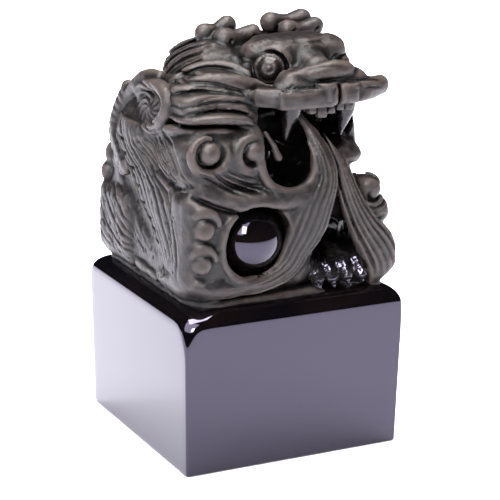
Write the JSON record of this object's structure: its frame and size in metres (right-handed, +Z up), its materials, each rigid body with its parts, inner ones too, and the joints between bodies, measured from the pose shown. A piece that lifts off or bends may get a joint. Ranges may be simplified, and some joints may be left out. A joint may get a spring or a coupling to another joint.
{
  "type": "foo dog statue",
  "caption": "Carved guardian lion crouching over a ball on a square polished stone block, with an open mouth, curled mane, horns and a ribbon round the ball.",
  "frame": {"origin": "centre of the block's underside", "axes": "+Z up; -Y is the face the beast looks out of; +X is to the right of someone who faces it, so the beast's own right side is at -X"},
  "size_m": [0.06, 0.06, 0.1066],
  "materials": {
    "polished_stone": "black volcanic glass, cut and polished like a mirror",
    "carved_stone": "the same stone left matt from carving, dark grey brown, lighter on worn ridges"
  },
  "bodies": {
    "root": {"ball": "polished_stone", "block": "polished_stone", "brow": "carved_stone", "cheek_bosses": "carved_stone", "cheek_left": "carved_stone", "cheek_right": "carved_stone", "chest": "carved_stone", "claws_left": "polished_stone", "claws_right": "polished_stone", "corner_scrolls": "carved_stone", "cranium": "carved_stone", "ear_left": "carved_stone", "ear_right": "carved_stone", "eye_left": "carved_stone", "eye_right": "carved_stone", "eyelid_left": "carved_stone", "eyelid_right": "carved_stone", "foreleg_left": "carved_stone", "foreleg_right": "carved_stone", "forepaw_left": "carved_stone", "forepaw_right": "carved_stone", "ground": "carved_stone", "haunch_left": "carved_stone", "haunch_right": "carved_stone", "hind_paw_left": "carved_stone", "hind_paw_right": "carved_stone", "horn_left": "carved_stone", "horn_right": "carved_stone", "incisors": "carved_stone", "jaw_floor": "carved_stone", "leg_fringe": "carved_stone", "lip_tooth": "carved_stone", "lower_fang_left": "polished_stone", "lower_fang_right": "polished_stone", "lower_jaw": "carved_stone", "mane_back": "carved_stone", "mane_left": "carved_stone", "mane_lock": "carved_stone", "mane_right": "carved_stone", "muzzle": "carved_stone", "nose": "carved_stone", "ribbon_bosses": "carved_stone", "ribbon_curl_lower": "carved_stone", "ribbon_curl_upper": "carved_stone", "ribbon_loop": "carved_stone", "ribbon_tail": "carved_stone", "shoulder_scroll_left": "carved_stone", "shoulder_scroll_right": "carved_stone", "tail": "carved_stone", "tail_curl": "carved_stone", "throat": "carved_stone", "torso": "carved_stone", "upper_fang_left": "polished_stone", "upper_fang_right": "polished_stone", "upper_lip": "carved_stone"}
  },
  "joints": []
}
